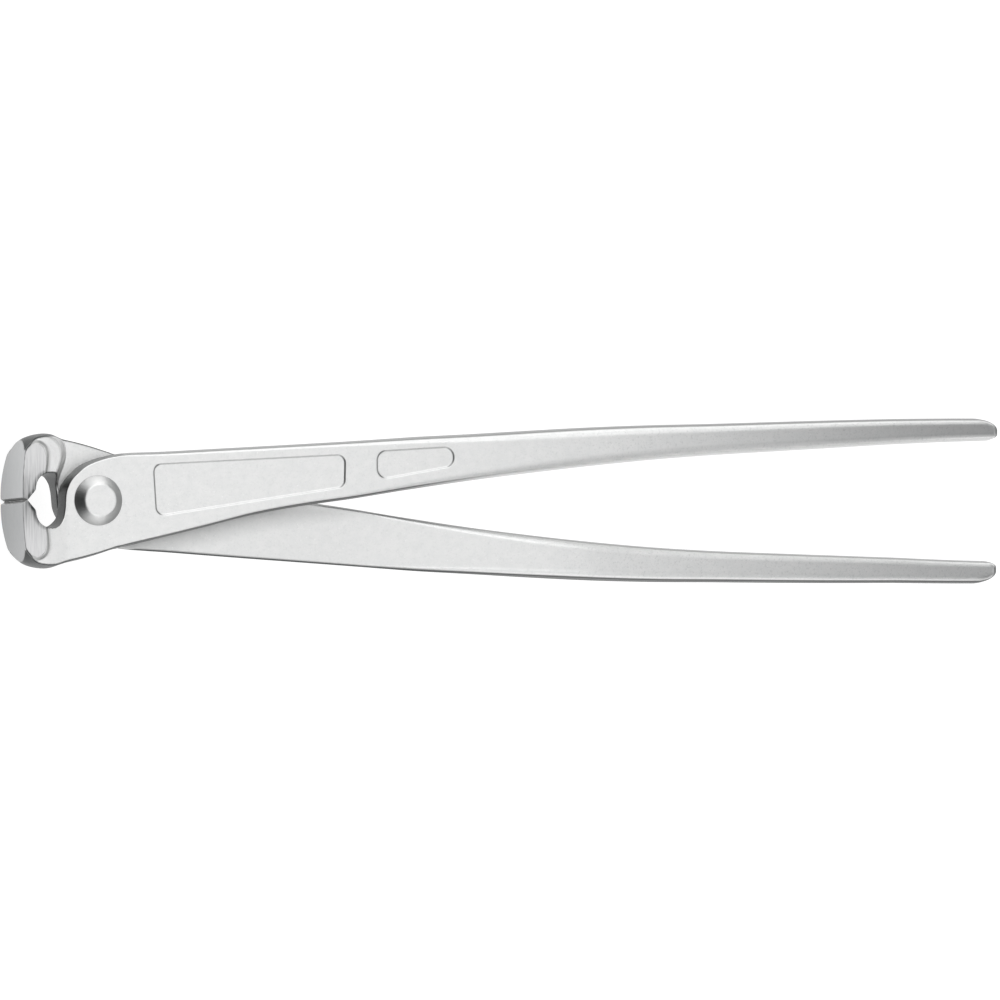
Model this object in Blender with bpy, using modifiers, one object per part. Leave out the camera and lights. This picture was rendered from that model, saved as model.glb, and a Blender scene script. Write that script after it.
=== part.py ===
"""Rebar tying pliers: two crossed forged levers and the rivet that they turn on.

Lengths are in metres. +X runs from the jaws to the handle ends, +Y is the side of the
front lever's handle, and +Z is the axis of the rivet. The tool lies on its side on z = 0,
with the middle of its length over the origin.
"""
import math

import bmesh
import bpy
import numpy as np

# Driving dimensions of the whole tool
TOTAL_LENGTH = 0.300
HEAD_REACH = 0.0226
FRONT_BULGE = 0.0004
HEAD_WIDTH = 0.020
JAW_HEIGHT = 0.0186
HALF_SPREAD = 0.024
JOINT_THICKNESS = 0.0125
TIP_THICKNESS = 0.0088

# Joint: the round of each limb, the rivet and the running clearances
BOSS_RADIUS = 0.0097
RIVET_RADIUS = 0.0050
RIVET_HEAD_RADIUS = 0.0069
RIVET_FLAT_RADIUS = 0.0044
RIVET_HEAD_HEIGHT = 0.0023
RIVET_RIM = 0.0003
CLEARANCE = 0.0003
LAP_LENGTH = 0.070
RAMP_LENGTH = 0.055
SHOULDER_DRAFT = math.radians(23)

# Jaws: ground front, cutting edge, throat and the flats ground on their sides
FRONT_RADIUS = 0.0350
FRONT_CREST = 0.0012
NOTCH_HEIGHT = 0.0009
NOTCH_DEPTH = 0.0004
EDGE_LAND = 0.0003
THROAT_HALF = 0.00765
POCKET_DEPTH = 0.0005

# Handles: where they start to thin, their corners, their ends and their common set
TAPER_START = 0.108
CHEEK_FILLET = 0.0012
LAP_FILLET = 0.0006
JOINT_FILLET = 0.0009
TIP_FILLET = 0.0022
TIP_NOSE_OUTER = 0.0070
TIP_NOSE_INNER = 0.0030
TIP_NOSE_FLAT = 0.0022
TIP_DROP_OUTER = 0.0030
TIP_DROP_INNER = 0.0010
TIP_DROP_FLAT = 0.0010
HANDLE_SET = 0.0009
RECESS_DEPTH = 0.0004
RECESS_CORNER = 0.0020
SMALL_RECESS_CORNER = 0.0030

# Places worked out from the sizes above
FRONT_REACH = HEAD_REACH + FRONT_BULGE
HANDLE_REACH = TOTAL_LENGTH - FRONT_REACH
PIVOT_X = FRONT_REACH - TOTAL_LENGTH / 2
PIVOT_Z = HEAD_WIDTH / 2
SET_SPAN_SHARE = 0.88
OVERRUN = HEAD_WIDTH
WELD = CLEARANCE / 100

# Back of the jaw, as shares of the head's reach and of the jaw's height, then the crown
# of that back from its middle to its sides, as a share of the jaw's height
JAW_BACK_SHARES = (
    (-1.070, 0.480, 0.120), (-1.000, 0.600, 0.100), (-0.964, 0.685, 0.090),
    (-0.933, 0.757, 0.080), (-0.898, 0.830, 0.075), (-0.867, 0.888, 0.085),
    (-0.818, 0.940, 0.090), (-0.760, 0.967, 0.055), (-0.702, 0.985, 0.030),
    (-0.587, 1.000, 0.040), (-0.467, 0.980, 0.020), (-0.360, 0.943, 0.005),
    (-0.178, 0.876, 0.000), (0.000, 0.820, 0.000),
)
# Swell of the head from the joint's thickness to its full width, in head reaches
SWELL_SHARES = (-0.38, -0.70)
# Inner and outer edge of a limb behind the rivet, in handle reaches and half spreads
LIMB_SHARES = (
    (0.022, -0.558, 0.558), (0.070, -0.425, 0.580), (0.118, -0.292, 0.616),
    (0.166, -0.154, 0.652), (0.215, -0.050, 0.688), (0.277, 0.051, 0.735),
    (0.342, 0.172, 0.784), (0.407, 0.277, 0.824), (0.473, 0.368, 0.868),
    (0.540, 0.450, 0.907), (0.607, 0.519, 0.932), (0.674, 0.570, 0.945),
    (0.742, 0.608, 0.962), (0.810, 0.644, 0.977), (0.879, 0.681, 0.988),
    (0.948, 0.715, 0.998), (1.000, 0.733, 1.000),
)
# Throat wall from the cutting edge to the joint, in the length between the rivet's boss
# and the front, and in half the throat's height
THROAT_SHARES = (
    (0.820, 0.200), (0.740, 0.370), (0.719, 0.550), (0.658, 0.765), (0.557, 0.911),
    (0.445, 0.975), (0.336, 1.000), (0.234, 0.985), (0.133, 0.890), (0.059, 0.680),
    (0.020, 0.390),
)
# Edge of the limb from the round about the rivet to its straight, in boss radii
NECK_SHARES = (
    (-0.271, 1.025), (0.000, 1.141), (0.278, 1.222), (0.546, 1.280), (0.825, 1.338),
    (1.196, 1.395), (1.700, 1.450), (2.400, 1.600), (3.200, 2.200),
)
BOSS_ARC = (math.radians(180), math.radians(112))
# Foot of the jaw's shoulder on the lap plane, in boss radii
SHOULDER_SHARES = (
    (-1.040, 2.500), (-1.040, 0.000), (-1.030, -0.403), (-0.960, -0.713),
    (-0.845, -0.998), (-0.758, -1.257), (-0.712, -1.515), (-0.695, -1.700),
    (-0.690, -2.500),
)
# Rounded end of the side flat, in head reaches and jaw heights
POCKET_SHARES = (
    (-0.715, 0.100), (-0.725, -0.350), (-0.706, -0.470), (-0.693, -0.640),
    (-0.698, -0.735), (-0.732, -0.808), (-0.790, -0.834), (-0.860, -0.820),
    (-0.930, -0.770), (-1.300, -0.700), (-1.300, 0.100),
)
# Corners of the two bare recesses, in handle reaches and half spreads
LONG_RECESS_SHARES = ((0.061, -0.194), (0.261, 0.150), (0.262, 0.545), (0.062, 0.414))
SHORT_RECESS_SHARES = ((0.298, 0.225), (0.380, 0.396), (0.380, 0.640), (0.298, 0.583))
# Sections of the lever along its length, in head reaches and then handle reaches
HEAD_STATION_SHARES = (1.07, 1.0, 0.964, 0.933, 0.898, 0.867, 0.818, 0.76, 0.70, 0.65,
                       0.60, 0.55, 0.50, 0.45, 0.40, 0.30, 0.15)
LIMB_STATION_STEPS = 26
NOSE_STEPS = 5
CORNER_STEPS = 3
FRONT_STEPS = 12
ARC_STEPS = 5
CURVE_STEPS = 2
ROUND_STEPS = 48
CROWN_SHARES = (-0.66, -0.33, 0.0, 0.33, 0.66)
FILLET_SHARE = 0.42


def clear_scene():
    """Remove whatever the file opened with."""
    for item in list(bpy.data.objects):
        bpy.data.objects.remove(item, do_unlink=True)


def make_collection(name):
    """Add a collection to the scene."""
    group = bpy.data.collections.new(name)
    bpy.context.scene.collection.children.link(group)
    return group


def make_material(name, colour, roughness):
    """A plated steel finish."""
    material = bpy.data.materials.new(name)
    material.use_nodes = True
    shader = material.node_tree.nodes["Principled BSDF"]
    shader.inputs["Base Color"].default_value = (*colour, 1.0)
    shader.inputs["Roughness"].default_value = roughness
    shader.inputs["Metallic"].default_value = 1.0
    return material


def smooth_value(table, column, place):
    """Read a column of a table at a place, with smooth slopes between its rows."""
    places = np.array([row[0] for row in table])
    values = np.array([row[column] for row in table])
    slopes = np.gradient(values, places)
    row = int(np.clip(np.searchsorted(places, place) - 1, 0, len(places) - 2))
    span = places[row + 1] - places[row]
    part = min(max((place - places[row]) / span, 0.0), 1.0)
    rise = values[row + 1] - values[row]
    ease = part * part * (3 - 2 * part)
    lean_in = part * (1 - part) ** 2 * slopes[row] * span
    lean_out = part * part * (1 - part) * slopes[row + 1] * span
    return float(values[row] + rise * ease + lean_in - lean_out)


def ease_between(value, start, end):
    """0 before start, 1 after end, and a smooth rise between them."""
    part = min(max((value - start) / (end - start), 0.0), 1.0)
    return part * part * (3 - 2 * part)


def handle_set(x):
    """Sideways set that both handles of this tool share."""
    return -HANDLE_SET * math.sin(math.pi * min(max(x / HANDLE_REACH / SET_SPAN_SHARE, 0.0), 1.0))


def half_thickness(x):
    """Half the lever's thickness before the lap is cut from it."""
    joint = JOINT_THICKNESS / 2
    if x < 0:
        start, end = (share * HEAD_REACH for share in SWELL_SHARES)
        return joint + (HEAD_WIDTH / 2 - joint) * ease_between(x, start, end)
    thinning = ease_between(x, TAPER_START, HANDLE_REACH)
    return joint + (TIP_THICKNESS / 2 - joint) * thinning


def corner_fillet(x):
    """Radius of the lever's long edges."""
    if x < 0:
        swell = ease_between(x, 0.0, SWELL_SHARES[1] * HEAD_REACH)
        return LAP_FILLET + (CHEEK_FILLET - LAP_FILLET) * swell
    growth = ease_between(x, TAPER_START / 2, HANDLE_REACH)
    start = LAP_FILLET + (JOINT_FILLET - LAP_FILLET) * ease_between(x, 0.0, TAPER_START / 2)
    return start + (TIP_FILLET - start) * growth


def nose_drop(x, nose, depth):
    """How far an edge has drawn in where the handle's end is rounded."""
    part = min(max((x - HANDLE_REACH + nose) / nose, 0.0), 1.0)
    return depth * (1 - math.sqrt(1 - part * part))


def limb_edges(x, side):
    """Inner and outer edge of a lever at x, and the crown of its outer jaw."""
    first = LIMB_SHARES[0][0] * HANDLE_REACH
    if x < first:
        back = smooth_value(JAW_BACK_SHARES, 1, x / HEAD_REACH)
        crown = smooth_value(JAW_BACK_SHARES, 2, x / HEAD_REACH) * JAW_HEIGHT
        inner = -back * JAW_HEIGHT
        outer = LIMB_SHARES[0][2] * HALF_SPREAD
    else:
        inner = smooth_value(LIMB_SHARES, 1, x / HANDLE_REACH) * HALF_SPREAD
        outer = smooth_value(LIMB_SHARES, 2, x / HANDLE_REACH) * HALF_SPREAD
        crown = 0.0
    shift = side * handle_set(x)
    inner += shift + nose_drop(x, TIP_NOSE_INNER, TIP_DROP_INNER)
    outer += shift - nose_drop(x, TIP_NOSE_OUTER, TIP_DROP_OUTER)
    return inner, outer, crown


def lever_section(x, side):
    """Closed ring of points across the lever at x."""
    inner, outer, crown = limb_edges(x, side)
    half = half_thickness(x) - nose_drop(x, TIP_NOSE_FLAT, TIP_DROP_FLAT)
    fillet = min(corner_fillet(x), FILLET_SHARE * (outer - inner), FILLET_SHARE * 2 * half)
    corners = ((inner, half, 90), (outer, half, 0), (outer, -half, -90), (inner, -half, -180))
    ring = []
    for edge, face, start in corners:
        centre_y = edge + (fillet if edge == inner else -fillet)
        centre_z = face - math.copysign(fillet, face)
        for step in range(CORNER_STEPS + 1):
            turn = math.radians(start + 90 - 90 * step / CORNER_STEPS)
            ring.append((centre_y + fillet * math.cos(turn), centre_z + fillet * math.sin(turn)))
    ring += [(inner, share * half) for share in CROWN_SHARES]
    lift = [crown * (z / half) ** 2 * (outer - y) / (outer - inner) for y, z in ring]
    return [(x, y + rise, z) for (y, z), rise in zip(ring, lift)]


def lever_stations():
    """Places along the lever where its section is taken."""
    stations = [-share * HEAD_REACH for share in HEAD_STATION_SHARES] + [0.0]
    start = LIMB_SHARES[0][0] * HANDLE_REACH
    end = HANDLE_REACH - TIP_NOSE_OUTER
    stations += list(np.linspace(start, end, LIMB_STATION_STEPS))
    for step in range(1, NOSE_STEPS + 1):
        stations.append(end + TIP_NOSE_OUTER * math.sin(math.pi / 2 * step / NOSE_STEPS))
    return stations


def loft(name, rings, group):
    """A closed body through rings of equal count, with its ends capped."""
    shape = bmesh.new()
    rows = [[shape.verts.new(point) for point in ring] for ring in rings]
    for row, after in zip(rows, rows[1:]):
        for place in range(len(row)):
            turn = (place + 1) % len(row)
            shape.faces.new((row[place], row[turn], after[turn], after[place]))
    shape.faces.new(rows[0])
    shape.faces.new(rows[-1])
    bmesh.ops.recalc_face_normals(shape, faces=shape.faces)
    if shape.calc_volume(signed=True) < 0:
        bmesh.ops.reverse_faces(shape, faces=shape.faces)
    mesh = bpy.data.meshes.new(name)
    shape.to_mesh(mesh)
    shape.free()
    body = bpy.data.objects.new(name, mesh)
    group.objects.link(body)
    return body


def prism(name, outline, low, high, group, upright=False):
    """A flat outline given a thickness, along Z or, if upright, along -Y."""
    curve = bpy.data.curves.new(name, "CURVE")
    curve.dimensions = "2D"
    curve.fill_mode = "BOTH"
    curve.extrude = (high - low) / 2
    line = curve.splines.new("POLY")
    line.points.add(len(outline) - 1)
    for point, (x, y) in zip(line.points, outline):
        point.co = (x, y, 0.0, 1.0)
    line.use_cyclic_u = True
    flat = bpy.data.objects.new(name, curve)
    bpy.context.scene.collection.objects.link(flat)
    bpy.context.view_layer.update()
    seen = flat.evaluated_get(bpy.context.evaluated_depsgraph_get())
    mesh = bpy.data.meshes.new_from_object(seen)
    bpy.data.objects.remove(flat, do_unlink=True)
    shape = bmesh.new()
    shape.from_mesh(mesh)
    bmesh.ops.remove_doubles(shape, verts=shape.verts, dist=WELD)
    bmesh.ops.translate(shape, verts=shape.verts, vec=(0.0, 0.0, (high + low) / 2))
    bmesh.ops.recalc_face_normals(shape, faces=shape.faces)
    shape.to_mesh(mesh)
    shape.free()
    body = bpy.data.objects.new(name, mesh)
    body.rotation_euler = (math.pi / 2 if upright else 0.0, 0.0, 0.0)
    group.objects.link(body)
    return body


def curve_through(points):
    """Points of a smooth line through the given ones."""
    places = [(number, x, y) for number, (x, y) in enumerate(points)]
    line = []
    for place in np.linspace(0, len(points) - 1, (len(points) - 1) * CURVE_STEPS + 1):
        line.append((smooth_value(places, 1, place), smooth_value(places, 2, place)))
    return line


def head_outline():
    """Side view of the lever's head: front, cutting edge, throat and round of the joint."""
    far = HANDLE_REACH + OVERRUN
    wide = HALF_SPREAD + OVERRUN
    outline = [(far, -wide)]
    drop = JAW_HEIGHT + CHEEK_FILLET - FRONT_CREST
    for share in np.linspace(1.0, 0.0, FRONT_STEPS + 1):
        fall = drop * share
        sag = FRONT_RADIUS - math.sqrt(FRONT_RADIUS ** 2 - fall ** 2)
        outline.append((sag - FRONT_REACH, -FRONT_CREST - fall))
    outline.append((-FRONT_REACH, -NOTCH_HEIGHT - CLEARANCE / 2))
    outline.append((NOTCH_DEPTH - FRONT_REACH, -CLEARANCE / 2))
    outline.append((NOTCH_DEPTH + EDGE_LAND - FRONT_REACH, -CLEARANCE / 2))
    throat = HEAD_REACH - BOSS_RADIUS
    wall = [(-BOSS_RADIUS - x * throat, -y * THROAT_HALF) for x, y in THROAT_SHARES]
    start, end = BOSS_ARC
    for turn in np.linspace(start, end, ARC_STEPS + 1):
        wall.append((BOSS_RADIUS * math.cos(turn), BOSS_RADIUS * math.sin(turn)))
    wall += [(x * BOSS_RADIUS, y * BOSS_RADIUS) for x, y in NECK_SHARES]
    outline += curve_through(wall)
    outline.append((wall[-1][0], wide))
    outline.append((far, wide))
    return outline


def rounded(corners, radius):
    """Outline of a flat shape with straight sides and round corners."""
    outline = []
    for number, corner in enumerate(corners):
        corner = np.array(corner)
        before = np.array(corners[number - 1]) - corner
        after = np.array(corners[(number + 1) % len(corners)]) - corner
        before = before / np.linalg.norm(before)
        after = after / np.linalg.norm(after)
        half_angle = math.acos(float(before @ after)) / 2
        reach = radius / math.tan(half_angle)
        centre = corner + (before + after) / np.linalg.norm(before + after) * (
            radius / math.sin(half_angle))
        first = corner + before * reach - centre
        last = corner + after * reach - centre
        for step in range(CORNER_STEPS * 2 + 1):
            part = step / (CORNER_STEPS * 2)
            spoke = first * (1 - part) + last * part
            outline.append(tuple(centre + spoke / np.linalg.norm(spoke) * radius))
    return outline


def lap_space(name, group):
    """Room for the other limb: under the lap plane, up to the shoulder and the ramp."""
    plane = CLEARANCE / 2
    depth = HEAD_WIDTH / 2 + OVERRUN
    fall = depth + plane
    ramp_end = LAP_LENGTH + RAMP_LENGTH * fall / (TIP_THICKNESS / 2 + plane)
    wide = HALF_SPREAD + OVERRUN
    side_view = [(-HEAD_REACH - OVERRUN, plane), (-HEAD_REACH - OVERRUN, -depth),
                 (ramp_end, -depth), (LAP_LENGTH, plane)]
    room = prism(name + "_lap", side_view, -wide, wide, group, upright=True)
    rings = []
    for height in (-depth - OVERRUN, OVERRUN):
        lean = height * math.tan(SHOULDER_DRAFT)
        foot = [(x * BOSS_RADIUS + lean, y * BOSS_RADIUS) for x, y in SHOULDER_SHARES]
        foot += [(-HEAD_REACH - 3 * OVERRUN, foot[-1][1]), (-HEAD_REACH - 3 * OVERRUN, foot[0][1])]
        rings.append([(x, y, height) for x, y in foot])
    jaw = loft(name + "_shoulder", rings, group)
    cut(room, jaw)
    return room


def cut(body, cutter, operation="DIFFERENCE"):
    """Cut one body by another, which stays as a guide."""
    step = body.modifiers.new(cutter.name, "BOOLEAN")
    step.operation = operation
    step.solver = "EXACT"
    step.object = cutter
    cutter.hide_render = True
    cutter.display_type = "WIRE"


def bore(name, group):
    """Hole for the rivet, with its running clearance."""
    shape = bmesh.new()
    bmesh.ops.create_cone(
        shape, cap_ends=True, segments=ROUND_STEPS, radius1=RIVET_RADIUS + CLEARANCE,
        radius2=RIVET_RADIUS + CLEARANCE, depth=JOINT_THICKNESS + 2 * OVERRUN)
    mesh = bpy.data.meshes.new(name + "_bore")
    shape.to_mesh(mesh)
    shape.free()
    body = bpy.data.objects.new(name + "_bore", mesh)
    group.objects.link(body)
    return body


def side_flats(name, group):
    """The two flats ground on the sides of a jaw."""
    points = [(x * HEAD_REACH, y * JAW_HEIGHT) for x, y in POCKET_SHARES]
    outline = curve_through(points[:-2]) + points[-2:]
    plane = HEAD_WIDTH / 2 - POCKET_DEPTH
    near = prism(name + "_near_flat", outline, plane, plane + OVERRUN, group)
    far = prism(name + "_far_flat", outline, -plane - OVERRUN, -plane, group)
    return near, far


def face_recesses(name, group):
    """The long and the short bare recess in the front face of the limb."""
    floor = JOINT_THICKNESS / 2 - RECESS_DEPTH
    recesses = []
    for number, (shares, radius) in enumerate((
            (LONG_RECESS_SHARES, RECESS_CORNER), (SHORT_RECESS_SHARES, SMALL_RECESS_CORNER))):
        corners = [(x * HANDLE_REACH, y * HALF_SPREAD) for x, y in shares]
        recesses.append(prism(f"{name}_recess_{number + 1}", rounded(corners, radius),
                              floor, floor + OVERRUN, group))
    return recesses


def make_lever(name, side, frame, parts, guides, material):
    """One forging: a jaw, its half of the lap joint and the handle across from the jaw."""
    rings = [lever_section(x, side) for x in lever_stations()]
    lever = loft(name, rings, parts)
    lever.data.materials.append(material)
    head = prism(name + "_head", head_outline(), -HEAD_WIDTH, HEAD_WIDTH, guides)
    cut(lever, head, "INTERSECT")
    cutters = [lap_space(name, guides), bore(name, guides), *side_flats(name, guides)]
    if side > 0:
        cutters += face_recesses(name, guides)
    for cutter in cutters:
        cut(lever, cutter)
    for item in guides.objects:
        if item.name.startswith(name):
            item.parent = frame
    lever.parent = frame
    return lever


def make_rivet(name, frame, parts, material):
    """Shank with two alike heads, turned about its axis."""
    seat = JOINT_THICKNESS / 2 + CLEARANCE
    top = JOINT_THICKNESS / 2 + RIVET_HEAD_HEIGHT
    half = [(0.0, top), (RIVET_FLAT_RADIUS, top), (RIVET_HEAD_RADIUS, seat + RIVET_RIM),
            (RIVET_HEAD_RADIUS, seat), (RIVET_RADIUS, seat)]
    profile = half + [(r, -z) for r, z in reversed(half)]
    mesh = bpy.data.meshes.new(name)
    lines = [(number, number + 1) for number in range(len(profile) - 1)]
    mesh.from_pydata([(r, 0.0, z) for r, z in profile], lines, [])
    rivet = bpy.data.objects.new(name, mesh)
    parts.objects.link(rivet)
    turn = rivet.modifiers.new("turn", "SCREW")
    turn.steps = ROUND_STEPS
    turn.render_steps = ROUND_STEPS
    turn.use_merge_vertices = True
    turn.merge_threshold = WELD
    turn.use_smooth_shade = True
    mesh.materials.append(material)
    rivet.parent = frame
    return rivet


def make_frame(name, turn, guides):
    """An empty on the rivet's axis that carries a lever."""
    frame = bpy.data.objects.new(name, None)
    frame.location = (PIVOT_X, 0.0, PIVOT_Z)
    frame.rotation_euler = (turn, 0.0, 0.0)
    guides.objects.link(frame)
    return frame


def build():
    """Put the whole tool together."""
    clear_scene()
    parts = make_collection("rebar_tying_pliers")
    guides = make_collection("guides")
    front = make_frame("front_axis", 0.0, guides)
    rear = make_frame("rear_axis", math.pi, guides)
    make_lever("front_lever", 1, front, parts, guides,
               make_material("front_lever_steel", (0.78, 0.79, 0.78), 0.32))
    make_lever("rear_lever", -1, rear, parts, guides,
               make_material("rear_lever_steel", (0.76, 0.77, 0.77), 0.34))
    make_rivet("joint_rivet", rear, parts,
               make_material("joint_rivet_steel", (0.80, 0.80, 0.79), 0.28))


build()
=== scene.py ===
"""Rebar tying pliers on a pale studio floor.

The levers are modelled as solids bounded by smooth distance fields: outlines in plan and
in side view, the lap joint, the shoulder of the jaw, the ground flats and the recesses.
Their lengths are in millimetres about the middle of the rivet, with X along the tool and
Z along the rivet, until the mesh is made. Lamps, floor and camera are in metres.
"""
import math

import bmesh
import bpy
import numpy as np
from mathutils import Matrix, Vector


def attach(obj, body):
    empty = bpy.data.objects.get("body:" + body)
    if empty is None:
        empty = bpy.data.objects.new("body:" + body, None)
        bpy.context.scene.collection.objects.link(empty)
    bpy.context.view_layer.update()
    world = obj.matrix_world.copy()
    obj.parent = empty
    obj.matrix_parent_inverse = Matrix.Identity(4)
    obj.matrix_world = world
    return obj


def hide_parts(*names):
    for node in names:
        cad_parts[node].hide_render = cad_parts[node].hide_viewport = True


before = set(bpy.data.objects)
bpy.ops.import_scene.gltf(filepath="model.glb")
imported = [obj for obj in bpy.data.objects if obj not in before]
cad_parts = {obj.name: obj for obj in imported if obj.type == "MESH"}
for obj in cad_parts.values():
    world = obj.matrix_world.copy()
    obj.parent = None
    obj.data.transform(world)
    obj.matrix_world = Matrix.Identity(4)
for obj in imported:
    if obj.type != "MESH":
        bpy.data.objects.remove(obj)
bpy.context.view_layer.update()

MM = 0.001

# Sizes of the whole tool
TOTAL_LENGTH = 300.0
HEAD_REACH = 22.6
FRONT_BULGE = 0.4
HEAD_WIDTH = 20.0
JAW_HEIGHT = 18.6
HALF_SPREAD = 24.0
JOINT_THICKNESS = 12.5
TIP_THICKNESS = 8.8
FRONT_REACH = HEAD_REACH + FRONT_BULGE
HANDLE_REACH = TOTAL_LENGTH - FRONT_REACH
PIVOT = Vector((FRONT_REACH - TOTAL_LENGTH / 2, 0.0, HEAD_WIDTH / 2)) * MM

# Joint: the round about the rivet, its bore, the lap and the ramp behind it
BOSS_RADIUS = 9.7
BORE_RADIUS = 5.3
CLEARANCE = 0.3
LAP_START = 12.0
LAP_LENGTH = 70.0
RAMP_END = 150.0
SHOULDER_DRAFT = math.radians(23)
FOOT_FILLET = 0.4
LAP_EDGE = 0.6

# Jaws: ground front and its twist, cutting edge, throat, ground flats and the cheek's cone
FRONT_RADIUS = 53.0
FRONT_CREST = 1.2
FRONT_TWIST = 0.07
TWIST_REACH = 13.7
TWIST_FADE = (-13.0, -17.0)
NOTCH_HEIGHT = 0.75
NOTCH_DEPTH = 1.1
EDGE_GAP = 0.05
EDGE_LAND = 0.35
GROUND_EDGE = 0.12
THROAT_HALF = 7.65
FLAT_END = -9.0
FLAT_RUN = 2.0
CHEEK_DEPTH = 1.6
CHEEK_CENTRE = (-16.3, -12.5)
CHEEK_RADIUS = 5.1
CHEEK_FALL = 0.48
CHEEK_EDGE = 0.5

# Drafts of the forged sides and of the plate, with the ranges over which they set in
SIDE_DRAFT = 0.12
SIDE_DRAFT_FADE = (-16.0, -5.0)
PLATE_DRAFT = 0.08
PLATE_DRAFT_FROM = 2.5
PLATE_DRAFT_FADE = 1.5
PLATE_EDGE = 0.45
PLATE_EDGE_FADE = 2.0

# Handles: where they start to thin, their long edges, their ends and their common set
TAPER_START = 108.0
CHEEK_FILLET = 0.5
LAP_FILLET = 0.6
JOINT_FILLET = 0.9
GRIP_FILLET = 2.6
TIP_FILLET = 1.9
TIP_NOSE_OUTER, TIP_DROP_OUTER = 7.0, 3.5
TIP_NOSE_INNER, TIP_DROP_INNER = 3.0, 1.7
REAR_SHORTER = 0.9
HANDLE_SET = 0.9
SET_SPAN_SHARE = 0.88

# Recesses
RECESS_DEPTH = 0.4
RECESS_CORNER = 2.5
SMALL_RECESS_CORNER = 3.0
RECESS_EDGE = 0.12
RECESS_FOOT = 0.12
RECESS_DRAFT = 1.3
RECESS_SPAN = 64.0

# Back of the jaw, then how far it is crowned, in head reaches and jaw heights
JAW_BACK_SHARES = (
    (-1.070, 0.720, 0.240), (-1.000, 0.823, 0.230), (-0.965, 0.857, 0.215),
    (-0.929, 0.884, 0.160), (-0.885, 0.914, 0.110), (-0.841, 0.941, 0.069),
    (-0.796, 0.961, 0.049), (-0.752, 0.977, 0.046), (-0.700, 0.990, 0.045),
    (-0.610, 1.000, 0.040), (-0.540, 0.990, 0.030), (-0.473, 0.965, 0.020),
    (-0.360, 0.925, 0.005), (-0.178, 0.876, 0.000), (0.000, 0.820, 0.000),
)
# Swell of the head from the joint to the cheek, in head reaches, and its soft ends' share
SWELL_SHARES = (-0.305, -0.77)
SWELL_SOFT_SHARE = 0.25
# Inner and outer edge of a limb behind the rivet, in handle reaches and half spreads
LIMB_SHARES = (
    (0.022, -0.558, 0.558), (0.070, -0.425, 0.580), (0.118, -0.292, 0.616),
    (0.166, -0.154, 0.652), (0.215, -0.050, 0.688), (0.277, 0.051, 0.735),
    (0.342, 0.172, 0.784), (0.407, 0.277, 0.824), (0.473, 0.368, 0.868),
    (0.540, 0.450, 0.907), (0.607, 0.519, 0.932), (0.674, 0.570, 0.945),
    (0.742, 0.608, 0.962), (0.810, 0.644, 0.977), (0.879, 0.681, 0.988),
    (0.948, 0.715, 0.998), (1.000, 0.733, 1.000),
)
# Throat wall from the cutting edge to the joint, in lengths and half heights of the throat
THROAT_SHARES = (
    (0.820, 0.200), (0.740, 0.370), (0.719, 0.550), (0.658, 0.765), (0.557, 0.911),
    (0.445, 0.975), (0.336, 1.000), (0.234, 0.985), (0.133, 0.890), (0.059, 0.680),
    (0.020, 0.390),
)
# Edge of the limb from the round about the rivet to its straight, in boss radii
NECK_SHARES = (
    (-0.361, 0.995), (-0.160, 1.092), (0.040, 1.165), (0.278, 1.232), (0.546, 1.288),
    (0.825, 1.338), (1.196, 1.395), (1.700, 1.450), (2.400, 1.600), (3.200, 2.200),
)
BOSS_ARC = (math.radians(180), math.radians(128))
# Foot of the jaw's shoulder on the lap plane, in boss radii
SHOULDER_SHARES = (
    (-1.040, 2.500), (-1.040, 0.000), (-1.030, -0.403), (-0.960, -0.713),
    (-0.845, -0.998), (-0.758, -1.257), (-0.712, -1.515), (-0.695, -1.700),
    (-0.690, -2.500),
)
# Outline of the flat ground on a jaw's side, in head reaches and jaw heights
FLAT_SHARES = (
    (-0.715, 0.100), (-0.728, -0.350), (-0.712, -0.470), (-0.700, -0.600),
    (-0.700, -0.705), (-0.722, -0.775), (-0.768, -0.822), (-0.835, -0.838),
    (-0.900, -0.812), (-0.955, -0.755), (-1.000, -0.670), (-1.300, -0.500),
    (-1.300, 0.100),
)
# Corners of the two bare recesses, in handle reaches and half spreads
LONG_RECESS_SHARES = ((0.0605, -0.194), (0.263, 0.150), (0.264, 0.545), (0.0575, 0.425))
SHORT_RECESS_SHARES = ((0.2965, 0.225), (0.3815, 0.396), (0.3815, 0.640), (0.2965, 0.583))

# Boxes in plan that the outlines' grids cover, as lowest and highest corners
LIMB_BOX = ((-26.0, -22.0), (280.0, 27.0))
HEAD_BOX = ((-26.0, -22.0), (40.0, 27.0))
SHOULDER_BOX = ((-28.0, -22.0), (12.0, 22.0))
FLAT_BOX = ((-26.0, -18.0), (-10.0, 3.0))
LONG_RECESS_BOX = ((14.0, -8.0), (76.0, 16.0))
SHORT_RECESS_BOX = ((79.0, 2.0), (109.0, 19.0))
# How far out the head's walls and the bore are worked out
HEAD_FIELD_END = 42.0
BORE_MARGIN = 1.0

# How finely the outlines are drawn and kept, and how far from them they are measured
PLAN_STEP = 0.1
LINE_STEP = 0.12
HANDLE_LINE_STEP = 0.8
FAR_FROM_OUTLINE = 6.0
CORNER_STEPS = 16
NOSE_STEPS = 40
FRONT_STEPS = 200
BOSS_STEPS = 6
GRID_MARGIN = 4
GRID_LAST_CELL = 3.001
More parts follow.
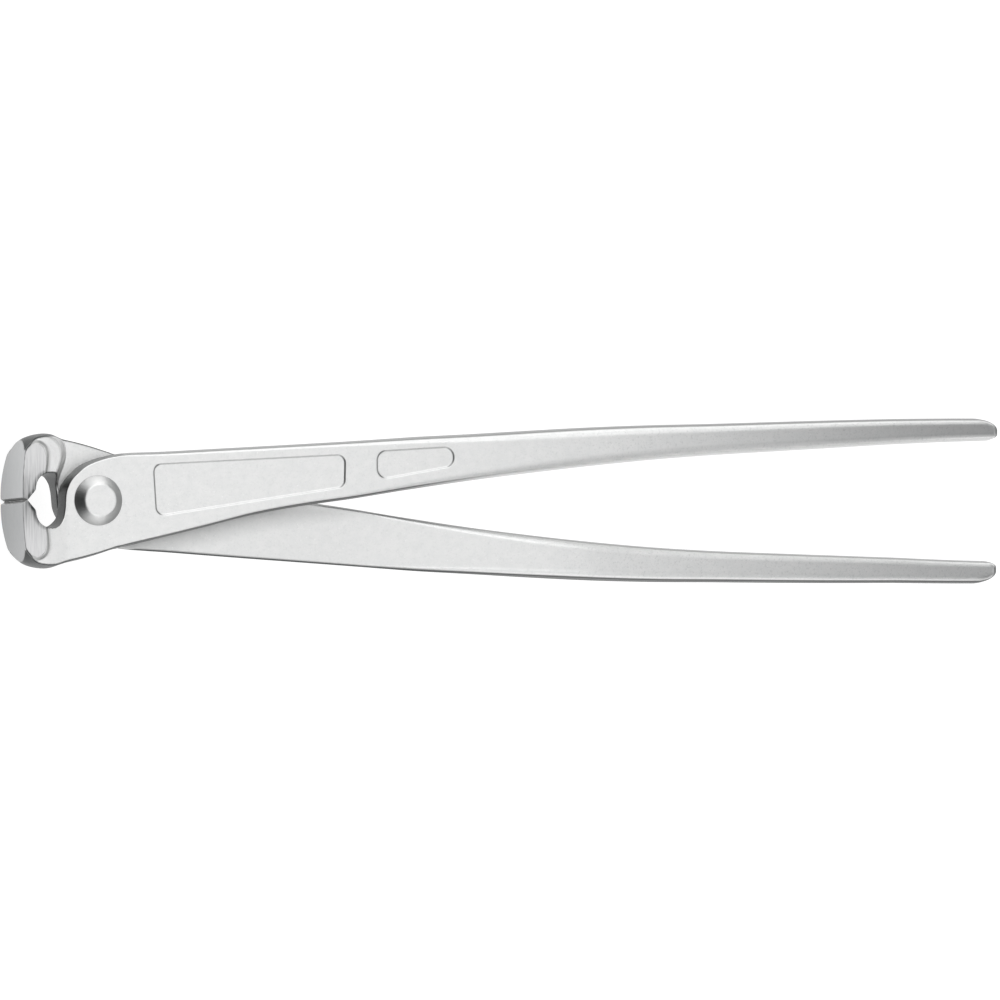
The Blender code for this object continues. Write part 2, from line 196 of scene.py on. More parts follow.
# How finely the meshes are sampled: places along an axis with the step at each
X_STEPS = (
    (-23.4, 0.2), (-5.0, 0.2), (-3.0, 0.45), (14.0, 0.45), (15.5, 0.2), (19.5, 0.2),
    (21.0, 0.6), (69.0, 0.6), (70.5, 0.2), (73.3, 0.2), (74.5, 0.5), (81.0, 0.5),
    (82.0, 0.2), (86.0, 0.2), (87.0, 0.5), (101.5, 0.5), (102.5, 0.2), (106.3, 0.2),
    (108.0, 0.6), (120.0, 1.0), (266.0, 1.0), (270.0, 0.35), (277.9, 0.2),
)
Y_SPAN = (-19.2, 24.8)
Y_STEP = 0.27
Z_STEPS = (
    (-10.4, 0.12), (-9.0, 0.12), (-8.5, 0.3), (-0.6, 0.3), (-0.3, 0.12), (0.6, 0.12),
    (1.0, 0.3), (5.2, 0.3), (5.6, 0.1), (6.5, 0.1), (7.0, 0.3), (9.0, 0.3), (9.2, 0.12),
    (10.4, 0.12),
)
SPACING_SAMPLES = 20001
SLOPE_STEP = 0.03
SLAB_LAYERS = 12
SLICE_POINTS = 40000
# How the mesh's points settle on the surface: rounds, furthest step and gentlest slope
SETTLE_ROUNDS = 3
SETTLE_STEP = 0.15
LEAST_SLOPE_SQUARED = 0.25
TINY = 1e-9


def smooth_value(table, column, place):
    """Read a column of a table at many places, with smooth slopes between its rows."""
    places = np.array([row[0] for row in table])
    values = np.array([row[column] for row in table])
    slopes = np.gradient(values, places)
    row = np.clip(np.searchsorted(places, place) - 1, 0, len(places) - 2)
    span = places[row + 1] - places[row]
    part = np.clip((place - places[row]) / span, 0.0, 1.0)
    rise = values[row + 1] - values[row]
    lean_in = part * (1 - part) ** 2 * slopes[row] * span
    lean_out = part * part * (1 - part) * slopes[row + 1] * span
    return values[row] + rise * part * part * (3 - 2 * part) + lean_in - lean_out


def ease_between(value, start, end):
    """0 before start, 1 after end, and a smooth rise between them."""
    part = np.clip((value - start) / (end - start), 0.0, 1.0)
    return part * part * (3 - 2 * part)


def straight_ease(value, start, end):
    """0 before start, 1 after end, and a straight rise with soft ends between them."""
    part = np.clip((value - start) / (end - start), 0.0, 1.0)
    soft = SWELL_SOFT_SHARE
    foot = np.minimum(part, soft) ** 2 / (2 * soft)
    top = np.maximum(part - 1 + soft, 0.0) ** 2 / (2 * soft)
    return (foot + np.maximum(part - soft, 0.0) - top) / (1 - soft)


def curve_through(points, step):
    """Points about a step apart on a smooth line through the given ones."""
    points = np.array(points)
    lengths = np.linalg.norm(np.diff(points, axis=0), axis=1)
    along = np.concatenate(([0.0], np.cumsum(lengths)))
    table = np.column_stack((along, points))
    places = np.linspace(0.0, along[-1], max(int(along[-1] / step), 2))
    return np.column_stack((smooth_value(table, 1, places), smooth_value(table, 2, places)))


def rounded(corners, radius):
    """Outline of a flat shape with straight sides and round corners."""
    outline = []
    for number, corner in enumerate(corners):
        corner = np.array(corner)
        before = np.array(corners[number - 1]) - corner
        after = np.array(corners[(number + 1) % len(corners)]) - corner
        before = before / np.linalg.norm(before)
        after = after / np.linalg.norm(after)
        half_angle = math.acos(float(before @ after)) / 2
        reach = radius / math.tan(half_angle)
        centre = corner + (before + after) / np.linalg.norm(before + after) * (
            radius / math.sin(half_angle))
        first = corner + before * reach - centre
        last = corner + after * reach - centre
        for part in np.linspace(0.0, 1.0, CORNER_STEPS):
            spoke = first * (1 - part) + last * part
            outline.append(centre + spoke / np.linalg.norm(spoke) * radius)
    return np.array(outline)


def convex_join(first, second, radius):
    """What lies inside both fields, with the edge between them rounded."""
    deep = np.minimum(np.maximum(first, second), -radius)
    return deep + np.hypot(np.maximum(first + radius, 0), np.maximum(second + radius, 0))


def concave_join(first, second, radius):
    """What lies inside either field, with the corner between them filled."""
    return -convex_join(-first, -second, radius)


class Outline:
    """Signed distance to a closed flat outline, negative inside, kept on a fine grid."""

    def __init__(self, points, low, high):
        points = np.asarray(points, dtype=float)
        self.low = np.array(low) - 2 * PLAN_STEP
        counts = np.ceil((np.array(high) - self.low) / PLAN_STEP).astype(int) + GRID_MARGIN
        places = [self.low[axis] + PLAN_STEP * np.arange(counts[axis]) for axis in (0, 1)]
        starts, ends = points, np.roll(points, -1, axis=0)
        left = np.minimum(starts[:, 0], ends[:, 0])
        right = np.maximum(starts[:, 0], ends[:, 0])
        self.grid = np.empty(counts)
        across = places[1][None, :]
        columns = int(FAR_FROM_OUTLINE / PLAN_STEP)
        for first in range(0, counts[0], columns):
            along = places[0][first:first + columns][:, None]
            close = (right > along[0] - FAR_FROM_OUTLINE) & (left < along[-1] + FAR_FROM_OUTLINE)
            least = np.full((len(along), counts[1]), FAR_FROM_OUTLINE ** 2)
            inside = np.zeros(least.shape, dtype=bool)
            for (ax, ay), (bx, by) in zip(starts[close], ends[close]):
                run, climb = bx - ax, by - ay
                size = run * run + climb * climb
                if size == 0:
                    continue
                part = np.clip(((along - ax) * run + (across - ay) * climb) / size, 0, 1)
                gap = (along - ax - part * run) ** 2 + (across - ay - part * climb) ** 2
                least = np.minimum(least, gap)
                if run:
                    spans = (along >= min(ax, bx)) & (along < max(ax, bx))
                    inside ^= spans & (ay + (along - ax) * climb / run > across)
            sign = np.where(inside, -1.0, 1.0)
            self.grid[first:first + columns] = sign * np.sqrt(least)

    def at(self, x, y):
        """The distance at many points, read as a cubic B-spline of the grid's values."""
        cell, weights = [], []
        for axis, place in enumerate((x, y)):
            most = self.grid.shape[axis] - GRID_LAST_CELL
            part = np.clip((place - self.low[axis]) / PLAN_STEP, 1.0, most)
            whole = np.floor(part)
            part = part - whole
            cell.append(whole.astype(np.int64) - 1)
            rest = 1 - part
            weights.append((rest ** 3 / 6, (3 * part ** 3 - 6 * part ** 2 + 4) / 6,
                            (3 * rest ** 3 - 6 * rest ** 2 + 4) / 6, part ** 3 / 6))
        stride = self.grid.shape[1]
        base = cell[0] * stride + cell[1]
        flat = self.grid.ravel()
        total = 0.0
        for step, weight in enumerate(weights[0]):
            row = 0.0
            for side, share in enumerate(weights[1]):
                row = row + share * flat[base + (step * stride + side)]
            total = total + weight * row
        return total


def handle_set(x):
    """Sideways set that both handles share."""
    span = np.clip(np.asarray(x) / HANDLE_REACH / SET_SPAN_SHARE, 0.0, 1.0)
    return -HANDLE_SET * np.sin(math.pi * span)


def half_thickness(x):
    """Half the lever's thickness before the lap is cut from it, and its slope."""
    joint = JOINT_THICKNESS / 2
    start, end = (share * HEAD_REACH for share in SWELL_SHARES)

    def at(place):
        swell = (HEAD_WIDTH / 2 - CHEEK_DEPTH - joint) * straight_ease(place, start, end)
        thinning = (TIP_THICKNESS / 2 - joint) * ease_between(place, TAPER_START, HANDLE_REACH)
        return joint + swell + thinning

    return at(x), (at(x + SLOPE_STEP) - at(x - SLOPE_STEP)) / (2 * SLOPE_STEP)


def lap_depth(x, half, slope):
    """How far the lever reaches under its middle plane behind the joint, and its slope."""
    plane = CLEARANCE / 2
    part = np.clip((x - LAP_LENGTH) / (RAMP_END - LAP_LENGTH), 0.0, 1.0)
    share = part * part * (3 - 2 * part)
    lean = slope * share + (half + plane) * 6 * part * (1 - part) / (RAMP_END - LAP_LENGTH)
    return (np.where(x < LAP_START, half, (half + plane) * share - plane),
            np.where(x < LAP_START, slope, lean))


def corner_fillet(x):
    """Radius of the lever's long edges."""
    swell = ease_between(x, 0.0, SWELL_SHARES[1] * HEAD_REACH)
    head = LAP_FILLET + (CHEEK_FILLET - LAP_FILLET) * swell
    start = LAP_FILLET + (JOINT_FILLET - LAP_FILLET) * ease_between(x, 0.0, TAPER_START / 2)
    limb = start + (GRIP_FILLET - start) * ease_between(x, TAPER_START / 2, RAMP_END)
    limb = limb + (TIP_FILLET - GRIP_FILLET) * ease_between(x, RAMP_END, HANDLE_REACH)
    return np.where(x < 0, head, limb)


def limb_outline(side):
    """Plan of a lever without its throat: back of the jaw, lower edge, end, upper edge."""
    low = [(x * HEAD_REACH, -y * JAW_HEIGHT) for x, y, _ in JAW_BACK_SHARES]
    low += [(x * HANDLE_REACH, y * HALF_SPREAD) for x, y, _ in LIMB_SHARES]
    reach = HANDLE_REACH - (REAR_SHORTER if side < 0 else 0.0)
    places = np.arange(LIMB_SHARES[0][0] * HANDLE_REACH, reach - TIP_NOSE_OUTER,
                       HANDLE_LINE_STEP)
    nose = reach - TIP_NOSE_OUTER * (1 - np.sin(np.linspace(0, math.pi / 2, NOSE_STEPS)))
    places = np.concatenate((places, nose))
    head_low = curve_through(low, LINE_STEP)
    head_low = head_low[head_low[:, 0] < places[0]]

    def edge(column, length, drop):
        part = np.clip((places - reach + length) / length, 0.0, 1.0)
        level = smooth_value(LIMB_SHARES, column, places / HANDLE_REACH) * HALF_SPREAD
        fall = drop * (1 - np.sqrt(1 - part * part))
        return np.column_stack((places, level + side * handle_set(places) - fall))

    lower = edge(1, TIP_NOSE_INNER, -TIP_DROP_INNER)
    upper = edge(2, TIP_NOSE_OUTER, TIP_DROP_OUTER)
    start = np.array([(head_low[0][0], upper[0][1])])
    return np.concatenate((head_low, lower, upper[::-1], start))


def head_outline():
    """Plan of the front, cutting edge, throat and round of the joint."""
    far, wide = 60.0, 40.0
    fall = np.linspace(wide, 0.0, FRONT_STEPS)
    sag = FRONT_RADIUS - np.sqrt(np.maximum(FRONT_RADIUS ** 2 - fall ** 2, 0.0))
    front = np.column_stack((sag - FRONT_REACH, -FRONT_CREST - fall))
    edge = EDGE_GAP / 2
    lip = np.array([(-FRONT_REACH, -NOTCH_HEIGHT - edge), (NOTCH_DEPTH - FRONT_REACH, -edge),
                    (NOTCH_DEPTH + EDGE_LAND - FRONT_REACH, -edge)])
    throat = HEAD_REACH - BOSS_RADIUS
    wall = [(-BOSS_RADIUS - x * throat, -y * THROAT_HALF) for x, y in THROAT_SHARES]
    wall += [(BOSS_RADIUS * math.cos(turn), BOSS_RADIUS * math.sin(turn))
             for turn in np.linspace(*BOSS_ARC, BOSS_STEPS)]
    wall += [(x * BOSS_RADIUS, y * BOSS_RADIUS) for x, y in NECK_SHARES]
    wall = curve_through(wall, LINE_STEP)
    rest = np.array([(wall[-1][0], wide), (far, wide), (far, front[0][1])])
    return np.concatenate((front, lip, wall, rest))


def shoulder_outline():
    """Plan of the jaw's block at the lap plane."""
    foot = curve_through([(x * BOSS_RADIUS, y * BOSS_RADIUS) for x, y in SHOULDER_SHARES[1:-1]],
                         LINE_STEP)
    far = -3 * HEAD_REACH
    ends = np.array([SHOULDER_SHARES[0], SHOULDER_SHARES[-1]]) * BOSS_RADIUS
    return np.concatenate((ends[:1], foot, ends[1:], [(far, ends[1][1]), (far, ends[0][1])]))


def flat_outline():
    """Plan of the flat ground on the side of a jaw."""
    points = [(x * HEAD_REACH, y * JAW_HEIGHT) for x, y in FLAT_SHARES]
    return np.concatenate((curve_through(points[:-2], LINE_STEP), points[-2:]))


def recess_outline(shares, radius):
    """Plan of a recess in the face of the limb."""
    return rounded([(x * HANDLE_REACH, y * HALF_SPREAD) for x, y in shares], radius)


LIMB_PLANS = {side: Outline(limb_outline(side), *LIMB_BOX) for side in (1, -1)}
HEAD_PLAN = Outline(head_outline(), *HEAD_BOX)
SHOULDER_PLAN = Outline(shoulder_outline(), *SHOULDER_BOX)
FLAT_PLAN = Outline(flat_outline(), *FLAT_BOX)
RECESS_PLANS = [
    Outline(recess_outline(LONG_RECESS_SHARES, RECESS_CORNER), *LONG_RECESS_BOX),
    Outline(recess_outline(SHORT_RECESS_SHARES, SMALL_RECESS_CORNER), *SHORT_RECESS_BOX),
]


class Lever:
    """One forging, as a field that is negative inside it: side 1 is the front lever."""

    def __init__(self, side):
        self.side = side
        self.plan = LIMB_PLANS[side]

    def turned_back(self, x, y, z):
        """X as the jaws' fronts see it, whose corners lie further back on the far side."""
        share = np.clip((np.abs(y) - FRONT_CREST) / (TWIST_REACH - FRONT_CREST), 0.0, 1.0) ** 2
        return x + FRONT_TWIST * self.side * z * share * ease_between(x, *TWIST_FADE)

    def walls(self, x, y, z):
        """Fields of the outer walls, the head's walls and the faces, before they are joined."""
        half, slope = half_thickness(x)
        x = self.turned_back(x, y, z)
        lift = (smooth_value(JAW_BACK_SHARES, 2, x / HEAD_REACH) * JAW_HEIGHT
                * np.minimum(np.abs(z) / half, 1.0) ** 2
                * np.clip(-y / JAW_HEIGHT, 0.0, 1.0) * (x < 0))
        draft = SIDE_DRAFT * ease_between(x, *SIDE_DRAFT_FADE)
        outer = (self.plan.at(x, y - lift) + draft * np.abs(z)) / np.sqrt(1 + draft ** 2)
        if x.min() < FLAT_END:
            rest = 1 - np.clip(FLAT_PLAN.at(x, y) / FLAT_RUN, 0.0, 1.0)
            slope = slope + 3 * CHEEK_DEPTH * rest ** 2 / FLAT_RUN * (rest < 1)
            half = half + (HEAD_WIDTH / 2 - half) * rest ** 3
        under, lean = lap_depth(x, half, slope)
        faces = np.maximum((z - half) / np.sqrt(1 + slope ** 2),
                           (-z - under) / np.sqrt(1 + lean ** 2))
        draft = PLATE_DRAFT * ease_between(x, -BOSS_RADIUS - PLATE_DRAFT_FADE,
                                           -BOSS_RADIUS + PLATE_DRAFT_FADE)
        head = HEAD_PLAN.at(x, y) + draft * (np.maximum(z, 0.0) - PLATE_DRAFT_FROM)
        return outer, head, faces

    def cheek_round(self, x, y, z):
        """Field of the cone that rounds the cheek off towards the shoulder."""
        reach = np.hypot(np.maximum(x - CHEEK_CENTRE[0], 0.0),
                         np.maximum(CHEEK_CENTRE[1] - y, 0.0))
        cone = reach - CHEEK_RADIUS - CHEEK_FALL * (z + HEAD_WIDTH / 2 - CHEEK_DEPTH)
        return cone / math.hypot(1, CHEEK_FALL)

    def lap(self, x, y, z):
        """Field of what the lap leaves of the lever: its upper half and the jaw's block."""
        lean = math.tan(SHOULDER_DRAFT)
        jaw = SHOULDER_PLAN.at(x - z * lean, y) * math.cos(SHOULDER_DRAFT)
        jaw = convex_join(jaw, self.cheek_round(x, y, z), CHEEK_EDGE)
        return concave_join(CLEARANCE / 2 - z, jaw, FOOT_FILLET)

    def recessed(self, body, x, y, z):
        """The lever's field with the two recesses cut into its face."""
        top = JOINT_THICKNESS / 2
        for recess in RECESS_PLANS:
            if x.max() > recess.low[0] and x.min() < recess.low[0] + RECESS_SPAN:
                wall = -recess.at(x, y) - RECESS_DRAFT * (top - z)
                keep = concave_join(z - top + RECESS_DEPTH, wall, RECESS_FOOT)
                body = convex_join(body, keep, RECESS_EDGE)
        return body

    def field(self, x, y, z):
        """Below zero inside the lever."""
        outer, head, faces = self.walls(x, y, z)
        body = convex_join(outer, faces, corner_fillet(x))
        if x.min() < HEAD_FIELD_END:
            sharp = ease_between(x, -BOSS_RADIUS - PLATE_EDGE_FADE, -BOSS_RADIUS)
            body = convex_join(body, head, GROUND_EDGE + (PLATE_EDGE - GROUND_EDGE) * sharp)
        if x.min() < LAP_START:
            lapped = convex_join(body, self.lap(x, y, z), LAP_EDGE)
            body = np.where(x < LAP_START, lapped, body)
        if self.side > 0:
            body = self.recessed(body, x, y, z)
        if x.min() < BORE_RADIUS + BORE_MARGIN:
            body = np.maximum(body, BORE_RADIUS - np.hypot(x, y))
        return body


def spaced(table):
    """Places from the first to the last of the table, spaced as it says."""
    fine = np.linspace(table[0][0], table[-1][0], SPACING_SAMPLES)
    steps = np.interp(fine, [row[0] for row in table], [row[1] for row in table])
    count = np.concatenate(([0.0], np.cumsum(np.diff(fine) / steps[1:])))
    return np.interp(np.linspace(0, count[-1], int(count[-1]) + 1), count, fine)


def read_in_slices(read, points):
    """A field at many points, a slice of them at a time, in their order along X."""
    parts = [read(*points[first:first + SLICE_POINTS].T)
             for first in range(0, len(points), SLICE_POINTS)]
    return np.concatenate(parts, axis=-1)


def slopes_of(read, points):
    """The field's slope at each point."""
    slope = np.empty_like(points)
    for axis in range(3):
        move = np.zeros(3)
        move[axis] = SLOPE_STEP
        ahead = read_in_slices(read, points + move)
        slope[:, axis] = (ahead - read_in_slices(read, points - move)) / (2 * SLOPE_STEP)
    return slope


def sampled(read, xs, ys, zs):
    """The field's values on a grid, worked out a slab of layers at a time."""
    values = np.empty((len(xs), len(ys), len(zs)), dtype=np.float32)
    for first in range(0, len(xs), SLAB_LAYERS):
        block = np.meshgrid(xs[first:first + SLAB_LAYERS], ys, zs, indexing="ij")
        values[first:first + SLAB_LAYERS] = read(*block)
    return values


def cell_points(values, places):
    """A point in each grid cell that the surface crosses, and each cell's number."""
    inside = values < 0
    count = np.zeros(tuple(size - 1 for size in values.shape), dtype=np.uint8)
    corners = [(i, j, k) for i in (0, 1) for j in (0, 1) for k in (0, 1)]
    for i, j, k in corners:
        count += inside[i:i + count.shape[0], j:j + count.shape[1], k:k + count.shape[2]]
    cells = np.argwhere((count > 0) & (count < len(corners)))
    number = np.full(count.shape, -1, dtype=np.int64)
    number[tuple(cells.T)] = np.arange(len(cells))
    at, value = [], []
    for corner in corners:
        spot = cells + corner
        at.append(np.column_stack([places[axis][spot[:, axis]] for axis in range(3)]))
        value.append(values[tuple(spot.T)].astype(float))
    total, crossings = np.zeros((len(cells), 3)), np.zeros(len(cells))
    for a, first in enumerate(corners):
        for b, second in enumerate(corners):
            if b > a and sum(abs(p - q) for p, q in zip(first, second)) == 1:
                cut = (value[a] < 0) != (value[b] < 0)
                part = np.where(cut, value[a] / np.where(cut, value[a] - value[b], 1.0), 0.0)
                total += np.where(cut[:, None], at[a] + (at[b] - at[a]) * part[:, None], 0.0)
                crossings += cut
    return total / crossings[:, None], number


def cell_faces(inside, number):
    """A quad across each grid edge that the surface crosses."""
    faces = []
    for axis, ring in ((0, ((0, -1, -1), (0, 0, -1), (0, 0, 0), (0, -1, 0))),
                       (1, ((-1, 0, -1), (-1, 0, 0), (0, 0, 0), (0, 0, -1))),
                       (2, ((-1, -1, 0), (0, -1, 0), (0, 0, 0), (-1, 0, 0)))):
        here = [slice(None)] * 3
        after = [slice(None)] * 3
        here[axis], after[axis] = slice(0, -1), slice(1, None)
        here, after = inside[tuple(here)], inside[tuple(after)]
        for out, cut in ((True, here & ~after), (False, after & ~here)):
            spot = np.argwhere(cut)
            quad = np.column_stack([number[tuple((spot + move).T)] for move in ring])
            faces.append(quad if out else quad[:, ::-1])
    return np.concatenate(faces)


def field_mesh(read, xs, ys, zs):
    """Points, faces and normals of the surface where the field is zero."""
    values = sampled(read, xs, ys, zs)
    points, number = cell_points(values, (xs, ys, zs))
    faces = cell_faces(values < 0, number)
    for _ in range(SETTLE_ROUNDS):
        slope = slopes_of(read, points)
        size = np.maximum((slope ** 2).sum(axis=1), LEAST_SLOPE_SQUARED)
        step = -(read_in_slices(read, points) / size)[:, None] * slope
        reach = np.maximum(np.linalg.norm(step, axis=1), TINY)
        points = points + step * np.minimum(1.0, SETTLE_STEP / reach)[:, None]
    slope = slopes_of(read, points)
    return points, faces, slope / np.maximum(np.linalg.norm(slope, axis=1), TINY)[:, None]


def link(name, data):
    """A new object in the scene."""
    body = bpy.data.objects.new(name, data)
    bpy.context.scene.collection.objects.link(body)
    return body


def make_mesh(name, points, faces, normals):
    """A smooth mesh object from arrays."""
    mesh = bpy.data.meshes.new(name)
    mesh.vertices.add(len(points))
    mesh.vertices.foreach_set("co", np.ascontiguousarray(points, dtype=np.float32).ravel())
    mesh.loops.add(faces.size)
    mesh.loops.foreach_set("vertex_index", np.ascontiguousarray(faces, dtype=np.int32).ravel())
    mesh.polygons.add(len(faces))
    mesh.polygons.foreach_set("loop_start", np.arange(0, faces.size, 4, dtype=np.int32))
    mesh.update(calc_edges=True)
    mesh.validate()
    mesh.polygons.foreach_set("use_smooth", np.ones(len(mesh.polygons), dtype=bool))
    mesh.normals_split_custom_set_from_vertices(normals.astype(np.float32))
    return link(name, mesh)


def add_mark(mesh, name, values):
    """Keep a value at each point of a mesh for its material."""
    layer = mesh.attributes.new(name, "FLOAT", "POINT")
    layer.data.foreach_set("value", values.astype(np.float32))


# Painted shade on the steep forged sides, from 0 to 1, standing in for the dark that they
# reflect and set by the way they face: of each lever, its inner side near the joint and
# further out, then its outer side
SIDE_SHADES = {1: (0.90, 0.25, 0.68), -1: (0.60, 0.62, 0.96)}
# Painted shade on the notches, flanks, throat, neck, cheek's edge, flats' steps and handles' ends
NOTCH_SHADES = {1: 0.35, -1: 0.9}
FLANK_SHADE = 0.98
THROAT_SHADE = 0.96
NECK_SHADE = 0.83
CHEEK_SHADE = 0.4
STEP_SHADE = 0.5
NOSE_SHADE = 0.97
# Painted shade on the ground flats towards the cutting edge and along the throat
EDGE_DUSK, EDGE_DUSK_REACH = 0.5, 6.5
THROAT_DUSK, THROAT_DUSK_WIDTH, THROAT_DUSK_HEIGHT = 0.4, 1.3, 8.0
THROAT_DUSK_FADE = (0.8, 2.0)
# How much darker each lever's ground front is made all over, and the painted shade added towards
# the floor
GROUND_DUSKS = {1: (0.22, 0.20), -1: (0.0, 0.30)}
# Painted shadow on the rear limb's face beside the front limb
CREASE_SHADE, CREASE_REACH, CREASE_POWER = 0.42, 7.0, 1.5
CREASE_FACING = -0.7
CREASE_FADE = (0.0, 4.0)
# Painted shade on the face of the front lever's grip, growing towards its end
GRIP_DUSK = 0.24
GRIP_FACING = (0.9, 0.99)
# Painted shade on the recesses' lower, upper and end walls, each by the way it faces, then
# the normals that tell them apart, the level above which they lie, and the band that they fill
RECESS_SHADES = (0.15, 0.35, 0.65)
RECESS_UPPER_TURN = (0.25, 0.0)
RECESS_END_TURN = (0.1, 0.35)
RECESS_STEEP = (0.97, 0.8)
RECESS_LEVEL = 4.0
RECESS_BAND = 0.5

# Where the painted shades change along the tool, as ranges of X
PLATE_FADE = (20.0, 10.0)
FLANK_FADE = (20.0, 0.0)
NECK_FADE = (-9.0, -5.5)
THROAT_FADE = (8.0, 24.0)
GRIP_FADE = (85.0, 125.0)
CROSSING_START, CROSSING_END = (10.0, 14.0), (125.0, 80.0)
THROAT_END = 40.0
NOSE_LENGTH = 12.0
# How a surface turns to -Y, to +Y and to the handles' ends, as ranges of its normal
TO_MINUS_Y, TO_PLUS_Y = (0.1, -0.1), (-0.1, 0.1)
TO_END = (0.2, 0.6)
# The upright parts of the normal between which a surface takes its painted shade, and how far
# they shift on the inner sides of the grips and on the outer side of the rear lever
STEEP_START, STEEP_FULL = 0.85, 0.5
INSIDE_SHIFTS, UNDER_SHIFTS = (0.2, 0.05), (0.05, 0.16)
# How much steeper a surface counts on the lower sides, each plate and the crossing limb
LOWER_STEEP, CROSSING_STEEP = 0.09, 0.3
PLATE_STEEPS = {1: 0.12, -1: 0.35}
# Widths of the marked bands beside the walls, and what the rear lever's crossing limb and
# its plate add to the sides' band
BAND_WIDTH, CROSSING_WIDER, PLATE_WIDER = 0.5, 0.45, 0.2
FRONT_BAND = 0.2
FLAT_BAND = 0.1
THROAT_BAND = 0.3
EDGE_BAND = 0.3
CHEEK_BAND = 0.3
STEP_BAND = 0.2
NEAR_CORE_SHARE = 0.3
EDGE_MARGIN = 0.05
# The cheek's edge gets painted shade under a level, and only where little shade is painted already
CHEEK_TOP = -1.0
BARE_SHADE = 0.1


def near(value, width):
    """1 where a field is about zero, falling to 0 at a width from it."""
    return 1 - ease_between(np.abs(value), NEAR_CORE_SHARE * width, width)


def ground_marks(lever, x, y, z):
    """Which points lie on the ground front, and which on the ground flats."""
    crest = np.minimum(y + FRONT_CREST, 0.0)
    back = lever.turned_back(x, y, z)
    front = np.hypot(back + FRONT_REACH - FRONT_RADIUS, crest) - FRONT_RADIUS
    ground = near(front, FRONT_BAND) * (x < -HEAD_REACH / 2) * (y < -EDGE_GAP / 2 - EDGE_MARGIN)
    flat = near(np.abs(z) - HEAD_WIDTH / 2, FLAT_BAND) * (FLAT_PLAN.at(x, y) < FLAT_BAND)
    return ground, flat * (x < FLAT_END)


def steepness(lever, x, y, normals):
    """How steep the forged sides count, from 0 to 1, and how wide their bands of painted shade
    are.
    """
    lower = ease_between(lever.side * normals[:, 1], *TO_MINUS_Y)
    inside = ease_between(normals[:, 1], *TO_MINUS_Y) * ease_between(x, *GRIP_FADE)
    under = (lever.side < 0) * ease_between(normals[:, 1], *TO_PLUS_Y)
    plate = PLATE_STEEPS[lever.side] * ease_between(x, *PLATE_FADE) * (y < 0)
    wide = BAND_WIDTH
    if lever.side < 0:
        limb = ease_between(x, *CROSSING_START) * ease_between(x, *CROSSING_END)
        wide = wide + CROSSING_WIDER * limb + PLATE_WIDER * (plate > 0)
        plate = np.maximum(plate, CROSSING_STEEP * limb)
    start = STEEP_START - INSIDE_SHIFTS[0] * inside - UNDER_SHIFTS[0] * under
    full = STEEP_FULL - INSIDE_SHIFTS[1] * inside + UNDER_SHIFTS[1] * under
    return ease_between(np.abs(normals[:, 2]) - LOWER_STEEP * lower - plate, start, full), wide


def side_painted_shade(lever, x, y, normals):
    """The painted shade of the forged sides where they are steep, by the way they face."""
    inner, far_inner, outside = SIDE_SHADES[lever.side]
    inner = inner + (far_inner - inner) * ease_between(x, *GRIP_FADE)
    side = inner + (outside - inner) * ease_between(normals[:, 1], *TO_PLUS_Y)
    return side + (FLANK_SHADE - side) * ease_between(x, *FLANK_FADE) * (y < 0)


def throat_painted_shade(lever, x, y, side):
    """The painted shade of the throat, the neck and the notch where they are steep."""
    throat = THROAT_SHADE + (NECK_SHADE - THROAT_SHADE) * ease_between(x, *NECK_FADE)
    throat = throat + (side - throat) * ease_between(x, *THROAT_FADE)
    notch = (y > -NOTCH_HEIGHT - EDGE_GAP) * (x < NOTCH_DEPTH + EDGE_LAND - FRONT_REACH)
    return throat + (NOTCH_SHADES[lever.side] - throat) * notch


def forged_shade(lever, points, normals, walls, ground):
    """Painted shade on the sides, the throat, the cheek's edge, the flats' steps and the end."""
    x, y, z = points.T
    outer, head, faces = walls
    steep, wide = steepness(lever, x, y, normals)
    side = side_painted_shade(lever, x, y, normals)
    throat = throat_painted_shade(lever, x, y, side) * near(head, THROAT_BAND) * (x < THROAT_END)
    # The land of the cutting edge gets full painted shade, for the dark gap between the jaws
    edge = (y > -EDGE_GAP) * (x < EDGE_BAND - FRONT_REACH + NOTCH_DEPTH + EDGE_LAND)
    shade = np.maximum(np.maximum(side * near(outer, wide), throat), edge)
    shade = shade * steep * (1 - ground)
    cheek = near(lever.cheek_round(x, y, z), CHEEK_BAND) * (z < CHEEK_TOP)
    cheek = cheek * (x > CHEEK_CENTRE[0]) * (shade < BARE_SHADE)
    shade = np.maximum(shade, CHEEK_SHADE * cheek)
    step = near(FLAT_PLAN.at(x, y) - FLAT_RUN / 4, FLAT_RUN / 3) * near(faces, STEP_BAND)
    shade = np.maximum(shade, STEP_SHADE * step * (x < FLAT_END))
    nose = ease_between(normals[:, 0], *TO_END) * (x > HANDLE_REACH - NOSE_LENGTH)
    return np.maximum(shade, NOSE_SHADE * nose)


def ground_dusk(lever, points, head, ground, flat):
    """Painted shade on the ground flats, and how much darker the ground front is made."""
    x, y, z = points.T
    dusk = EDGE_DUSK * np.exp(-(y / EDGE_DUSK_REACH) ** 2)
    start, end = THROAT_DUSK_FADE
    behind = ease_between(x, start - FRONT_REACH, end - FRONT_REACH) * (y > -THROAT_DUSK_HEIGHT)
    dusk = dusk + THROAT_DUSK * near(head, THROAT_DUSK_WIDTH) * behind
    even, growth = GROUND_DUSKS[lever.side]
    front = even + growth * (0.5 - lever.side * z / HEAD_WIDTH)
    return np.maximum(dusk * flat, front * ground)


def crease_shade(points, normals):
    """Painted shadow on the rear limb's face beside the front limb."""
    x, y, _ = points.T
    gap = np.clip(1 - LIMB_PLANS[1].at(x, -y) / CREASE_REACH, 0.0, 1.0)
    face = (normals[:, 2] < CREASE_FACING) * ease_between(y, *CREASE_FADE)
    return CREASE_SHADE * gap ** CREASE_POWER * face


